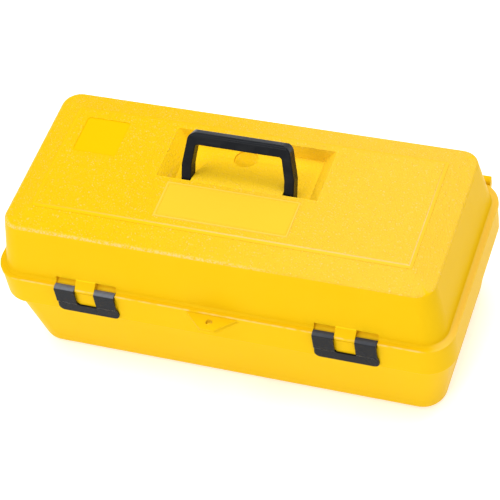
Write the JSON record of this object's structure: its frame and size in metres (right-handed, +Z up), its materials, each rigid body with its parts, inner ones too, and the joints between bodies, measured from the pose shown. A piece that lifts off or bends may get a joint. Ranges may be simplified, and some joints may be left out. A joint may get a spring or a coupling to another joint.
{
  "type": "toolbox with lift-out tray",
  "caption": "Moulded plastic hand toolbox: tapered base, hinged bevelled lid with recessed carrying handle, two snap latches, padlock eye and a lift-out tray with a bail.",
  "frame": {"origin": "centre of the flat underside of the base", "axes": "+X along the length, to the right seen from the latches; -Y to the front, where the latches are; +Z up"},
  "size_m": [0.4816, 0.2543, 0.2402],
  "materials": {
    "case_yellow": "moulded polypropylene, leather grain on the lid's top, satin elsewhere",
    "handle_black": "satin moulded",
    "latch_black": "satin moulded",
    "pin_steel": "drawn wire, zinc plated",
    "tray_black": "satin moulded polypropylene"
  },
  "bodies": {
    "base": {"base_tub": "case_yellow", "hinge_pin_left": "pin_steel", "hinge_pin_right": "pin_steel"},
    "lid": {"lid_shell": "case_yellow", "latch_pin_left": "pin_steel", "latch_pin_right": "pin_steel"},
    "handle": {"carry_handle": "handle_black"},
    "latch_l": {"latch_left": "latch_black"},
    "latch_r": {"latch_right": "latch_black"},
    "tray": {"lift_out_tray": "tray_black"},
    "bail": {"tray_bail": "tray_black"}
  },
  "joints": [
    {"name": "lid_hinge", "type": "hinge", "parent": "base", "child": "lid", "pos_m": [0, 0.1183, 0.1225], "axis": [-1, 0, 0], "range_deg": [0, 103]},
    {"name": "handle_pivot", "type": "hinge", "parent": "lid", "child": "handle", "pos_m": [0, 0.0006, 0.191], "axis": [1, 0, 0], "range_deg": [-63, 27]},
    {"name": "latch_left_pivot", "type": "hinge", "parent": "lid", "child": "latch_l", "pos_m": [-0.137, -0.1104, 0.1248], "axis": [-1, 0, 0], "range_deg": [0, 112]},
    {"name": "latch_right_pivot", "type": "hinge", "parent": "lid", "child": "latch_r", "pos_m": [0.137, -0.1104, 0.1248], "axis": [-1, 0, 0], "range_deg": [0, 112]},
    {"name": "tray_lift", "type": "slide", "parent": "base", "child": "tray", "axis": [0, 0, 1], "range_m": [0, 0.075]},
    {"name": "tray_bail_pivot", "type": "hinge", "parent": "tray", "child": "bail", "pos_m": [0, 0, 0.1118], "axis": [0, -1, 0], "range_deg": [0, 180]}
  ],
  "couplings": [
    {"joint": "tray_lift", "follows": "lid_hinge", "m_per_rad": 0.04}
  ]
}
